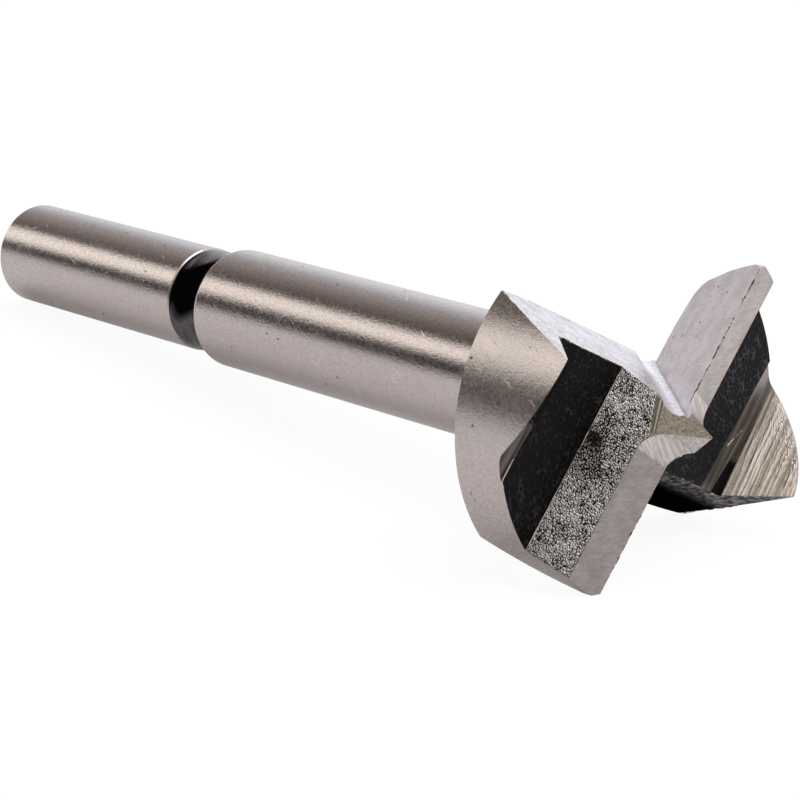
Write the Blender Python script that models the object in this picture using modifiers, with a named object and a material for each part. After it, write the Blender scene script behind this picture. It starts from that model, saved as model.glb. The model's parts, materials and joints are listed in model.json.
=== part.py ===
"""A 25 mm forstner bit: a head with two wings, two scoring spurs and a brad point on a stepped shank.

The bit is one piece of tool steel. It is made the way the real one is: a blank is turned about +Z,
from the end of the shank to above the point, and then the head is ground. Every cut is made twice,
half a turn apart, because the two wings are alike. Last, the bit is laid on its side, as it comes to
rest on a table: on the lip corner of one wing, the back corner of the other and the end of the shank.
"""
import math

import bmesh
import bpy
from mathutils import Matrix, Vector

# Shank sizes, in metres. Heights run along the axis from the end of the shank.
CHUCK_RADIUS = 0.0040
CHUCK_LENGTH = 0.0234
CHUCK_END_CHAMFER = 0.0003
NECK_RADIUS = 0.00388
NECK_LENGTH = 0.0036
BODY_RADIUS = 0.00454
BODY_EDGE_ROUND = 0.0006
EDGE_BREAK = 0.0001

# Head sizes. The back is a shallow crown: flat in the middle, then an arc that climbs to the rim.
HEAD_RADIUS = 0.0125
HEAD_BACK_HEIGHT = 0.0655
BACK_CROWN_RADIUS = 0.0138
BACK_CROWN_RISE = 0.0007
LIP_HEIGHT = 0.00897
POINT_HEIGHT = 0.0118
POINT_HALF_WIDTH_ANGLE = math.radians(25.4)
POINT_FOOT_RADIUS = 0.0020
POINT_EDGE_WIDTH = 0.00012

# Cutting lip: ahead of centre, with a relieved land behind it and a small facet on its outer corner
LIP_AHEAD = 0.00043
LAND_RELIEF = math.radians(16)
CORNER_FACET_DEPTH = 0.0005
CORNER_FACET_WIDTH = 0.0004

# Throat: a square-cornered groove whose one side is the rake face and the other the back of a wing
RAKE_ANGLE = math.radians(26.5)
THROAT_LEAN = math.radians(24)
WEB_HALF_WIDTH = 0.0011
ROOT_GROOVE_RADIUS = 0.0011
ROOT_GROOVE_DEPTH = 0.00037

# Channel between lip and spur, with a 60 degree slope on both sides and a ground strip along the spur
CHANNEL_SLOPE = math.radians(60)
CHANNEL_DEPTH = 0.00371
GROUND_STRIP_WIDTH = 0.0009
GROUND_STRIP_DIP = 0.0002
SPUR_FOOT = 0.00997
SPUR_SKEW = math.radians(3.1)
SPUR_FOOT_RADIUS = 0.0007
SPUR_OVERLAP = 0.00025
STRIP_TO_SPUR_FOOT = 0.00177

# Fineness of the round surfaces
TURNED_STEPS = 144
FILLET_STEPS = 8
GROOVE_STEPS = 48

SHADED_SMOOTH_BELOW = math.radians(25)

# Space that a cutter reaches past what it cuts, and how close two points are welded
CUTTER_MARGIN = 0.0015
WELD = 0.000001

NECK_START = CHUCK_LENGTH
BODY_START = CHUCK_LENGTH + NECK_LENGTH
LIP_Z = HEAD_BACK_HEIGHT + LIP_HEIGHT
POINT_Z = HEAD_BACK_HEIGHT + POINT_HEIGHT
FLOOR_Z = LIP_Z - CHANNEL_DEPTH
GROUND_STRIP_START = SPUR_FOOT - STRIP_TO_SPUR_FOOT
BLANK_TOP = POINT_Z + CUTTER_MARGIN
REACH = HEAD_RADIUS + 2 * CUTTER_MARGIN
LAND_CUT_LENGTH = 2 * CHANNEL_DEPTH
THROAT_CUT = 2.5 * HEAD_RADIUS


def clear_scene():
    """Remove every object, so that the script also runs in an open file."""
    for item in list(bpy.data.objects):
        bpy.data.objects.remove(item, do_unlink=True)


def new_collection(name):
    """Make a collection under the scene's own."""
    group = bpy.data.collections.new(name)
    bpy.context.scene.collection.children.link(group)
    return group


def new_material(name, colour, roughness, metallic):
    """Make a Principled material."""
    material = bpy.data.materials.new(name)
    material.use_nodes = True
    shader = material.node_tree.nodes["Principled BSDF"]
    shader.inputs["Base Color"].default_value = (*colour, 1.0)
    shader.inputs["Roughness"].default_value = roughness
    shader.inputs["Metallic"].default_value = metallic
    material.diffuse_color = (*colour, 1.0)
    return material


def arc(centre, radius, start, end, steps=FILLET_STEPS):
    """Points of an arc about centre, from one angle to another, both ends included."""
    angles = [start + (end - start) * i / steps for i in range(steps + 1)]
    return [(centre[0] + radius * math.cos(a), centre[1] + radius * math.sin(a)) for a in angles]


def blank_profile():
    """Half section of the turned blank as (radius, height), from the top down its outer side."""
    edge_radius = HEAD_RADIUS - EDGE_BREAK
    edge_angle = math.acos((BACK_CROWN_RADIUS - BACK_CROWN_RISE) / BACK_CROWN_RADIUS) - math.pi / 2
    crown_start = edge_radius - BACK_CROWN_RADIUS * math.cos(edge_angle)
    crown = arc((crown_start, HEAD_BACK_HEIGHT + BACK_CROWN_RADIUS), BACK_CROWN_RADIUS,
                edge_angle, -math.pi / 2)
    body_edge = arc((BODY_RADIUS - BODY_EDGE_ROUND, BODY_START + BODY_EDGE_ROUND), BODY_EDGE_ROUND,
                    0.0, -math.pi / 2)
    body_edge = [point for point in body_edge if point[0] > NECK_RADIUS]
    return [
        (0.0, BLANK_TOP),
        (HEAD_RADIUS, BLANK_TOP),
        (HEAD_RADIUS, HEAD_BACK_HEIGHT + BACK_CROWN_RISE + EDGE_BREAK),
        *crown,
        (BODY_RADIUS, HEAD_BACK_HEIGHT),
        *body_edge,
        (NECK_RADIUS, body_edge[-1][1]),
        (NECK_RADIUS, NECK_START),
        (CHUCK_RADIUS - EDGE_BREAK, NECK_START),
        (CHUCK_RADIUS, NECK_START - EDGE_BREAK),
        (CHUCK_RADIUS, CHUCK_END_CHAMFER),
        (CHUCK_RADIUS - CHUCK_END_CHAMFER, 0.0),
        (0.0, 0.0),
    ]


def turned_blank(collection, steel, blackened):
    """Turn the profile about the axis with a Screw modifier and blacken the neck."""
    profile = blank_profile()
    mesh = bpy.data.meshes.new("blank_profile")
    mesh.from_pydata([(r, 0.0, z) for r, z in profile], [(i, i + 1) for i in range(len(profile) - 1)], [])
    lathe = bpy.data.objects.new("blank_profile", mesh)
    lathe.rotation_euler.z = math.pi / TURNED_STEPS
    collection.objects.link(lathe)
    screw = lathe.modifiers.new("turn", "SCREW")
    screw.steps = TURNED_STEPS
    screw.render_steps = TURNED_STEPS
    screw.use_merge_vertices = True
    screw.merge_threshold = WELD
    screw.use_smooth_shade = True
    turned = mesh_from(lathe)
    turned.materials.append(steel)
    turned.materials.append(blackened)
    for face in turned.polygons:
        face.material_index = int(NECK_START < face.center.z < BODY_START)
    turned.set_sharp_from_angle(angle=SHADED_SMOOTH_BELOW)
    body = bpy.data.objects.new("forstner_bit", turned)
    collection.objects.link(body)
    return body


def mesh_from(source):
    """Evaluate an object, weld its loose caps and give back a mesh with the place applied."""
    graph = bpy.context.evaluated_depsgraph_get()
    mesh = bpy.data.meshes.new_from_object(source.evaluated_get(graph))
    mesh.transform(source.matrix_world)
    bpy.data.objects.remove(source, do_unlink=True)
    work = bmesh.new()
    work.from_mesh(mesh)
    bmesh.ops.remove_doubles(work, verts=work.verts, dist=WELD)
    bmesh.ops.recalc_face_normals(work, faces=work.faces)
    work.to_mesh(mesh)
    work.free()
    return mesh


def frame(x_axis, y_axis, origin):
    """Matrix of a right-handed frame with the given origin and first two axes."""
    x_axis = Vector(x_axis).normalized()
    y_axis = Vector(y_axis).normalized()
    z_axis = x_axis.cross(y_axis)
    matrix = Matrix((x_axis, y_axis, z_axis)).transposed().to_4x4()
    matrix.translation = Vector(origin)
    return matrix


def prism(name, outline, length, place):
    """Extrude a flat outline by length, half to each side, and put it where place says."""
    curve = bpy.data.curves.new(name, "CURVE")
    curve.dimensions = "2D"
    curve.fill_mode = "BOTH"
    curve.extrude = length / 2
    spline = curve.splines.new("POLY")
    spline.points.add(len(outline) - 1)
    for point, (u, v) in zip(spline.points, outline):
        point.co = (u, v, 0.0, 1.0)
    spline.use_cyclic_u = True
    source = bpy.data.objects.new(name, curve)
    bpy.context.scene.collection.objects.link(source)
    mesh = mesh_from(source)
    mesh.transform(place)
    return mesh


def placed_mesh(name, work, place, material):
    """Turn a bmesh into a mesh of one material that stands where place says."""
    bmesh.ops.transform(work, matrix=place, verts=work.verts)
    mesh = bpy.data.meshes.new(name)
    work.to_mesh(mesh)
    work.free()
    mesh.materials.append(material)
    return mesh


def channel_mesh(grainy, blackened, steel):
    """Channel cutter: from the point's side slope down to the floor and out to the ground strip.

    The outline lies across the lip. Its slope runs up through the tip, so that the same grind makes
    the side of the point and the back of the lip.
    """
    slope = math.tan(CHANNEL_SLOPE)
    top = BLANK_TOP + CUTTER_MARGIN
    strip_end = GROUND_STRIP_START + GROUND_STRIP_WIDTH
    outline = [
        ((top - POINT_Z) / slope, top),
        (-strip_end, top),
        (-strip_end, FLOOR_Z - GROUND_STRIP_DIP),
        (-GROUND_STRIP_START, FLOOR_Z),
        ((FLOOR_Z - POINT_Z) / slope, FLOOR_Z),
    ]
    mesh = prism("channel", outline, 2 * REACH, frame((0, 1, 0), (0, 0, 1), (0, 0, 0)))
    for material in (grainy, blackened, steel):
        mesh.materials.append(material)
    for face in mesh.polygons:
        on_slope = face.normal.y > 0.5
        on_floor = face.normal.z < -0.99 and face.center.y > -GROUND_STRIP_START
        face.material_index = 0 if on_slope else 1 if on_floor else 2
    return mesh


def spur_mesh(bright):
    """Spur cutter: the ground bevel inside the scoring edge, with a small radius at its foot."""
    foot_z = FLOOR_Z - GROUND_STRIP_DIP
    top = BLANK_TOP + CUTTER_MARGIN
    tangent = SPUR_FOOT_RADIUS * math.tan(CHANNEL_SLOPE / 2)
    foot = arc((-SPUR_FOOT + tangent, foot_z + SPUR_FOOT_RADIUS), SPUR_FOOT_RADIUS,
               -math.pi / 2, -math.pi / 2 - CHANNEL_SLOPE)
    inner = -GROUND_STRIP_START - GROUND_STRIP_WIDTH + SPUR_OVERLAP
    outline = [
        (inner, foot_z),
        *foot,
        (-SPUR_FOOT - (top - foot_z) / math.tan(CHANNEL_SLOPE), top),
        (inner, top),
    ]
    across = Matrix.Rotation(SPUR_SKEW, 4, "Z") @ frame((0, 1, 0), (0, 0, 1), (0, 0, 0))
    mesh = prism("spur_bevel", outline, 2 * REACH, across)
    mesh.materials.append(bright)
    return mesh


def land_mesh(steel):
    """Land cutter: flat over the lip, and curving up into the end flank of the point."""
    land_at_axis = LIP_Z - LIP_AHEAD * math.tan(LAND_RELIEF)
    rise = (POINT_Z - land_at_axis) * math.cos(LAND_RELIEF)
    flank = math.pi / 2 - POINT_HALF_WIDTH_ANGLE
    foot_x = POINT_EDGE_WIDTH / 2 + rise * math.tan(POINT_HALF_WIDTH_ANGLE)
    centre = (foot_x + POINT_FOOT_RADIUS * math.tan(flank / 2), POINT_FOOT_RADIUS)
    foot = arc(centre, POINT_FOOT_RADIUS, -math.pi / 2, -math.pi / 2 - flank)
    over = rise + 2 * CUTTER_MARGIN
    outline = [
        (REACH, 0.0),
        *foot,
        (foot_x - over * math.tan(POINT_HALF_WIDTH_ANGLE), over),
        (REACH, over),
    ]
    upright = Vector((0.0, -math.sin(LAND_RELIEF), math.cos(LAND_RELIEF)))
    place = frame((1, 0, 0), upright, (0, 0, land_at_axis))
    mesh = prism("land", outline, LAND_CUT_LENGTH, place)
    mesh.materials.append(steel)
    return mesh


def throat_frame():
    """Frame of the throat: its origin on the root at lip height, its axes the two side normals."""
    rake = Vector((0.0, math.cos(RAKE_ANGLE), -math.sin(RAKE_ANGLE)))
    down = Vector((0.0, -math.sin(RAKE_ANGLE), -math.cos(RAKE_ANGLE)))
    back = math.cos(THROAT_LEAN) * Vector((1.0, 0.0, 0.0)) - math.sin(THROAT_LEAN) * down
    return frame(back, rake, (WEB_HALF_WIDTH, LIP_AHEAD, LIP_Z))


def throat_mesh(bright):
    """Throat cutter: a square bar with one long edge on the root of the throat."""
    work = bmesh.new()
    bmesh.ops.create_cube(work, size=1.0)
    bmesh.ops.translate(work, verts=work.verts, vec=(0.5, 0.5, 0.0))
    bmesh.ops.scale(work, verts=work.verts, vec=(THROAT_CUT, THROAT_CUT, 2 * THROAT_CUT))
    return placed_mesh("throat", work, throat_frame(), bright)


def root_groove_mesh(bright):
    """Root cutter: a round bar that meets the rake face smoothly and sinks into the wing's back."""
    work = bmesh.new()
    bmesh.ops.create_cone(work, cap_ends=True, segments=GROOVE_STEPS, radius1=ROOT_GROOVE_RADIUS,
                          radius2=ROOT_GROOVE_RADIUS, depth=2 * THROAT_CUT)
    for face in work.faces:
        face.smooth = len(face.verts) == 4
    centre = (ROOT_GROOVE_RADIUS - ROOT_GROOVE_DEPTH, ROOT_GROOVE_RADIUS, 0.0)
    bmesh.ops.translate(work, verts=work.verts, vec=centre)
    return placed_mesh("root_groove", work, throat_frame(), bright)


def corner_mesh(bright):
    """Corner cutter: a block that takes a narrow upright facet off the outer end of the lip."""
    turn = math.atan2(CORNER_FACET_WIDTH, CORNER_FACET_DEPTH)
    outer_x = math.sqrt(HEAD_RADIUS ** 2 - (LIP_AHEAD - CORNER_FACET_DEPTH) ** 2)
    corner = Vector((outer_x, LIP_AHEAD - CORNER_FACET_DEPTH, FLOOR_Z))
    size = HEAD_RADIUS / 2
    work = bmesh.new()
    bmesh.ops.create_cube(work, size=size)
    bmesh.ops.translate(work, verts=work.verts, vec=(size / 2, 0.0, size / 2))
    place = Matrix.Translation(corner) @ Matrix.Rotation(turn, 4, "Z")
    return placed_mesh("lip_corner", work, place, bright)


def grind(body, mesh, collection):
    """Cut a mesh out of the body twice, half a turn apart; the cut faces take over its materials."""
    for count, side in enumerate(("a", "b")):
        cutter = bpy.data.objects.new(f"{mesh.name}_{side}", mesh)
        cutter.rotation_euler.z = math.pi * count
        cutter.hide_render = True
        cutter.display_type = "WIRE"
        collection.objects.link(cutter)
        cut = body.modifiers.new(cutter.name, "BOOLEAN")
        cut.operation = "DIFFERENCE"
        cut.solver = "EXACT"
        cut.material_mode = "TRANSFER"
        cut.object = cutter


def resting_matrix(body):
    """Turn that lays the bit on the largest flat of its hull beside the first throat.

    A body that is let go comes to rest on a face of its convex hull. The largest one on each side
    spans the throat, from a lip corner to the other wing's back corner and to the end of the shank.
    """
    graph = bpy.context.evaluated_depsgraph_get()
    evaluated = body.evaluated_get(graph)
    hull = bmesh.new()
    hull.from_mesh(evaluated.to_mesh())
    bmesh.ops.convex_hull(hull, input=hull.verts)
    throat_side = Vector((1.0, 1.0, 0.0)).normalized()
    beside = [face for face in hull.faces if face.normal.angle(throat_side) < math.pi / 4]
    down = max(beside, key=lambda face: face.calc_area()).normal.copy()
    hull.free()
    up = -down
    forward = (Vector((0.0, 0.0, 1.0)) - up * up.z).normalized()
    across = up.cross(forward)
    lying = Matrix((forward, across, up)).to_4x4()
    corners = [lying @ vertex.co for vertex in evaluated.data.vertices]
    low = Vector([min(point[i] for point in corners) for i in range(3)])
    high = Vector([max(point[i] for point in corners) for i in range(3)])
    bottom = Vector(((low.x + high.x) / 2, (low.y + high.y) / 2, low.z))
    return Matrix.Translation(-bottom) @ lying


def build():
    """Turn the blank, grind the head and lay the bit down."""
    clear_scene()
    parts = new_collection("forstner_bit")
    cutters = new_collection("cutters")
    steel = new_material("ground_steel", (0.56, 0.53, 0.50), 0.32, 1.0)
    bright = new_material("bright_ground_faces", (0.68, 0.66, 0.68), 0.38, 1.0)
    grainy = new_material("grainy_slope", (0.36, 0.36, 0.35), 0.50, 1.0)
    blackened = new_material("blackened_steel", (0.02, 0.02, 0.022), 0.30, 0.6)

    body = turned_blank(parts, steel, blackened)
    grind(body, channel_mesh(grainy, blackened, steel), cutters)
    grind(body, spur_mesh(bright), cutters)
    grind(body, land_mesh(steel), cutters)
    grind(body, throat_mesh(bright), cutters)
    grind(body, root_groove_mesh(bright), cutters)
    grind(body, corner_mesh(bright), cutters)

    stand = bpy.data.objects.new("lying_on_its_side", None)
    parts.objects.link(stand)
    stand.matrix_world = resting_matrix(body)
    for item in (body, *cutters.objects):
        item.parent = stand


build()
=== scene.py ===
# %% [markdown]
# # A forstner bit, dressed over its CAD solid
#
# A forstner bit drills clean, flat-bottomed holes in wood. Its brad point finds the centre, two spurs
# score the rim of the hole, and two lips shave the wood in between. The CAD part already holds the true
# shape: one piece of tool steel, lying on its side. This lesson adds what a photograph shows on top of
# it: faces that are ground, grainy, blackened or streaked, thin burrs along the edges, and a studio.

# %% Load the packed bit
import json
import math

import bmesh
import bpy
import numpy as np
from mathutils import Matrix, Quaternion, Vector


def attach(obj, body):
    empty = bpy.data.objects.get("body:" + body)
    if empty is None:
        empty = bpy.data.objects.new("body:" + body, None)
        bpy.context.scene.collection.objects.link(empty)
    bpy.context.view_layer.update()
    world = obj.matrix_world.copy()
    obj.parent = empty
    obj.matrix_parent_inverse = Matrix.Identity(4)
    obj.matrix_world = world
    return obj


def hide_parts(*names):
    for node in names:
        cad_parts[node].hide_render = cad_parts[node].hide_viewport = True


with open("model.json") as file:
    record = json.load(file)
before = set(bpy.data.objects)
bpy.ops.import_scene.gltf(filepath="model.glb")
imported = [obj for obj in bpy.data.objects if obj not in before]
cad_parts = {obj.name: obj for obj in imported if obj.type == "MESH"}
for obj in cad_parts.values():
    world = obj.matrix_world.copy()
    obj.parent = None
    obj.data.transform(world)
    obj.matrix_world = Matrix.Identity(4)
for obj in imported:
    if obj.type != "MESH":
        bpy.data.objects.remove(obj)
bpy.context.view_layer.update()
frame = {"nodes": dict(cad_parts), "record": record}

# %% [markdown]
# The head was designed upright, with its height along the shank, and then laid on its side. It is much
# easier to think in those upright axes. The record keeps the centre of the shank's end and the way that
# it faces, which gives the long axis. The other two follow from how far the bit has rolled about it.

# %% The bit's own axes, in millimetres
MM = 0.001
LIP_ROLL = math.radians(38.2705)
END_FACE = frame["record"]["mounts"][0]
SHANK_END = np.array(END_FACE["pos_m"])
ALONG = -np.array(END_FACE["axis"])
SIDE = np.array([0.0, 1.0, 0.0])
UPWARD = np.cross(ALONG, SIDE)
LIP = -math.sin(LIP_ROLL) * SIDE - math.cos(LIP_ROLL) * UPWARD
AHEAD = np.cross(ALONG, LIP)
BIT_AXES = np.stack([LIP, AHEAD, ALONG])


def lie_down(points):
    """Row position = shank end + x * lip axis + y * ahead axis + z * long axis, from mm to metres."""
    return SHANK_END + (np.asarray(points) * MM) @ BIT_AXES


def stand_up(points):
    """The inverse of lie_down: distances from the shank end along the bit's three axes, in mm."""
    return (np.asarray(points) - SHANK_END) @ BIT_AXES.T / MM


print("the long axis leans", round(math.degrees(math.asin(ALONG[2])), 2), "degrees up from the table")

# %% [markdown]
# These are the sizes of the CAD part that the dressing needs. Heights are measured from the shank's end
# along the axis. Wing A's lip runs along +x. Wing B is wing A after half a turn, so each shape is made
# once and turned.

# %% Sizes of the head and shank
CHUCK_LENGTH = 23.4
NECK_LENGTH = 3.6
NECK_RADIUS = 3.88
HEAD_RADIUS = 12.5
BACK_EDGE = 66.2
LIP_HEIGHT = 74.47
POINT_HEIGHT = 77.3
FLOOR_HEIGHT = 70.76
LIP_AHEAD = 0.43
LAND_TILT = math.radians(16)
RAKE_TILT = math.radians(26.5)
THROAT_LEAN = math.radians(24)
CHANNEL_TILT = math.radians(60)
STRIP_START = 8.2
STRIP_END = 9.1
STRIP_DIP = 0.2
SPUR_FOOT = 9.97
SPUR_FOOT_RADIUS = 0.7
SPUR_SKEW = math.radians(3.1)
POINT_FLANK = math.radians(25.4)
POINT_FOOT_RADIUS = 2.0
LAND_AT_AXIS = LIP_HEIGHT - LIP_AHEAD * math.tan(LAND_TILT)
SLOPE_FOOT = (FLOOR_HEIGHT - POINT_HEIGHT) / math.tan(CHANNEL_TILT)
print("the slope reaches the channel floor at y =", round(SLOPE_FOOT, 2), "mm")

# %% [markdown]
# Each ground face is known by the way it looks. The throat in front of a lip has two faces: the rake
# face under the lip, and the back face of the other wing, here called the lee face. Its plane and the
# head's cylinder are where most of the new surfaces begin and end.

# %% The ways that the ground faces look
UP = np.array([0.0, 0.0, 1.0])
LAND_OUT = np.array([0.0, -math.sin(LAND_TILT), math.cos(LAND_TILT)])
SLOPE_OUT = np.array([0.0, -math.sin(CHANNEL_TILT), math.cos(CHANNEL_TILT)])
RAKE_OUT = np.array([0.0, math.cos(RAKE_TILT), -math.sin(RAKE_TILT)])
THROAT_DOWN = np.array([0.0, -math.sin(RAKE_TILT), -math.cos(RAKE_TILT)])
LEE_OUT = np.array([-1.0, -1.0, 1.0]) * (
    math.cos(THROAT_LEAN) * np.array([1.0, 0.0, 0.0]) - math.sin(THROAT_LEAN) * THROAT_DOWN)
LEE_AT_LIP = np.array([-1.1, -LIP_AHEAD, LIP_HEIGHT])
LEE_OFFSET = LEE_OUT @ LEE_AT_LIP


def lee_x(y, z):
    """Where wing A's lee face stands: x solves lee normal . (x, y, z) = lee offset."""
    return (LEE_OFFSET - LEE_OUT[1] * y - LEE_OUT[2] * z) / LEE_OUT[0]


def rim_x(y):
    """Where the head's outer cylinder stands: x = sqrt(R^2 - y^2)."""
    return np.sqrt(HEAD_RADIUS ** 2 - y ** 2)


print("half way across, the channel floor runs from x =", round(float(lee_x(-6.0, FLOOR_HEIGHT)), 2),
      "to", round(float(rim_x(-6.0)), 2), "mm")

# %% [markdown]
# Every new surface here is a grid of points: rows by columns, worked out as whole arrays. These helpers
# turn such a grid into a mesh that rides on the bit. A sheet for wing B is wing A's after half a turn.

# %% Grid meshes
WINGS = {"a": 1.0, "b": -1.0}


def unit_grid(rows, columns):
    """Two fields over a grid: u goes from 0 to 1 along each row, and v from 0 to 1 down the rows."""
    v, u = np.meshgrid(np.linspace(0, 1, rows), np.linspace(0, 1, columns), indexing="ij")
    return u, v


def grid_faces(rows, columns, closed=False):
    """Four corners of every cell of a grid: (i, j), (i, j+1), (i+1, j+1), (i+1, j)."""
    index = np.arange(rows * columns).reshape(rows, columns)
    if closed:
        index = np.concatenate([index, index[:, :1]], axis=1)
    corners = [index[:-1, :-1], index[:-1, 1:], index[1:, 1:], index[1:, :-1]]
    return np.stack(corners, axis=-1).reshape(-1, 4)


def new_piece(name, points, faces, material, **values):
    """A smooth mesh object from points in the bit's axes, with one number per point for each value."""
    mesh = bpy.data.meshes.new(name)
    mesh.vertices.add(len(points))
    mesh.vertices.foreach_set("co", lie_down(points).ravel())
    mesh.loops.add(faces.size)
    mesh.loops.foreach_set("vertex_index", faces.ravel())
    mesh.polygons.add(len(faces))
    mesh.polygons.foreach_set("loop_start", np.arange(0, faces.size, 4))
    mesh.update(calc_edges=True)
    mesh.polygons.foreach_set("use_smooth", np.ones(len(faces), bool))
    for key, field in values.items():
        attribute = mesh.attributes.new(key, "FLOAT", "POINT")
        attribute.data.foreach_set("value", np.ravel(field).astype(np.float32))
    mesh.materials.append(material)
    piece = bpy.data.objects.new(name, mesh)
    bpy.context.scene.collection.objects.link(piece)
    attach(piece, "root")
    print(name, len(points), "points,", len(faces), "faces")
    return piece


def half_turn(points, side):
    """Wing A's points as they are, or turned half way round the axis for wing B."""
    return points.reshape(-1, 3) * np.array([WINGS[side], WINGS[side], 1.0])


def skin(name, points, outward, material, side, **values):
    """A sheet from a grid of points. It is turned over if its middle face looks away from outward."""
    rows, columns = points.shape[:2]
    middle = points[rows // 2, columns // 2]
    across = points[rows // 2, columns // 2 + 1] - middle
    down = points[rows // 2 + 1, columns // 2] - middle
    faces = grid_faces(rows, columns)
    if np.cross(across, down) @ outward < 0:
        faces = faces[:, ::-1]
    return new_piece(f"{name}_{side}", half_turn(points, side), faces, material, **values)


print("a grid of 3 by 4 points has", len(grid_faces(3, 4)), "faces, and", len(grid_faces(3, 4, closed=True)),
      "when its rows close up")

# %% [markdown]
# Two kinds of field shape and colour those sheets. A ramp goes from 0 to 1 between two places. Banded
# noise is white noise, which has waves of all lengths, with only a band of them kept. That gives lumps
# of one size, which is what grains and worms are.

# %% Ramps and banded noise
def ramp(value, start, end):
    """0 before start, 1 beyond end and a straight line in between. It also works with start > end."""
    return np.clip((value - start) / (end - start), 0, 1)


def banded_noise(shape, spacing, wave, seed, stretch=1.0, width=0.35):
    """Random field of one wavelength: the noise's spectrum times a bell around 1 / wave.

    spacing and wave are in mm, and stretch lengthens the waves along the columns. Mean 0, spread 1.
    """
    field = np.random.default_rng(seed).standard_normal(shape)
    along_rows = np.fft.fftfreq(shape[0], spacing)[:, None]
    along_columns = np.fft.rfftfreq(shape[1], spacing)[None, :] * stretch
    frequency = np.hypot(along_rows, along_columns) * wave
    keep = np.exp(-((frequency - 1.0) / width) ** 2)
    banded = np.fft.irfft2(np.fft.rfft2(field) * keep, s=shape)
    return (banded - banded.mean()) / banded.std()


print("a ramp from 2 to 4 is", ramp(2.5, 2.0, 4.0), "at 2.5")

# %% [markdown]
# Shader maths reads best as ordinary arithmetic. This small class wraps a node's output socket, and
# adding, subtracting or multiplying two of them adds a Math node. Every other node comes from one
# method of the next class, which takes the node's type, its settings and what goes into its sockets.

# %% A wrapper for shader sockets
class Wire:
    """One output socket that Python operators can work with."""

    def __init__(self, wiring, socket):
        self.wiring = wiring
        self.socket = socket

    def math(self, operation, *others):
        return self.wiring.node("ShaderNodeMath", {"operation": operation}, [self, *others]).out()

    def __add__(self, other):
        return self.math("ADD", other)

    def __mul__(self, other):
        return self.math("MULTIPLY", other)

    def __sub__(self, other):
        return self.math("SUBTRACT", other)

    def __rsub__(self, other):
        return self.math("MULTIPLY", -1.0).math("ADD", other)

    __radd__ = __add__
    __rmul__ = __mul__

    def above(self, low, high, least=0.0, most=1.0):
        """Least below low, most above high, and a smooth step between. It also works with low > high."""
        settings = {"interpolation_type": "SMOOTHSTEP"}
        inputs = {"Value": self, "From Min": low, "From Max": high, "To Min": least, "To Max": most}
        return self.wiring.node("ShaderNodeMapRange", settings, inputs).out()


class Node:
    """A node whose outputs come back as wires."""

    def __init__(self, wiring, node):
        self.wiring = wiring
        self.node = node

    def out(self, name=0):
        return Wire(self.wiring, self.node.outputs[name])


print("a wire can also do", [name for name in vars(Wire) if not name.startswith("_")])

# %% [markdown]
# Materials and the world are both node trees, so one class wires up either. Its node method adds a
# node, sets its options and fills its sockets with numbers, colours or wires.

# %% Wiring up a node tree
class Wiring:
    """The node tree of a material or of the world, while it is being wired up."""

    def __init__(self, tree):
        self.tree = tree

    def join(self, wire, socket):
        self.tree.links.new(wire.socket, socket)

    def node(self, kind, settings=None, inputs=None):
        """Add a node: first its settings, then numbers, colours or wires into its sockets."""
        made = self.tree.nodes.new(kind)
        for key, value in (settings or {}).items():
            setattr(made, key, value)
        pairs = enumerate(inputs) if isinstance(inputs, (list, tuple)) else (inputs or {}).items()
        for key, value in pairs:
            if isinstance(value, Wire):
                self.join(value, made.inputs[key])
            else:
                made.inputs[key].default_value = value
        return Node(self, made)

    def mix(self, factor, first, second):
        """Colour that goes from first to second as factor goes from 0 to 1."""
        made = self.node("ShaderNodeMix", {"data_type": "RGBA"}, {"Factor": factor}).node
        ends = [socket for socket in made.inputs if socket.type == "RGBA"]
        for socket, value in zip(ends, (first, second)):
            if isinstance(value, Wire):
                self.join(value, socket)
            else:
                socket.default_value = (*value, 1.0)
        return Wire(self, next(socket for socket in made.outputs if socket.type == "RGBA"))


print("a tree can do", [name for name in vars(Wiring) if not name.startswith("_")])

# %% [markdown]
# A finish is a material whose patterns are laid out in millimetres along the bit's own axes. The object
# coordinates of every piece are the row's, in metres, so one Mapping node turns and scales them. Then a
# noise of 5 waves per mm stays 5 waves per mm, on whichever piece it is used.

# %% A finish in the bit's own axes
DEEP_BLACK = (0.002, 0.002, 0.002, 1.0)


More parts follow.
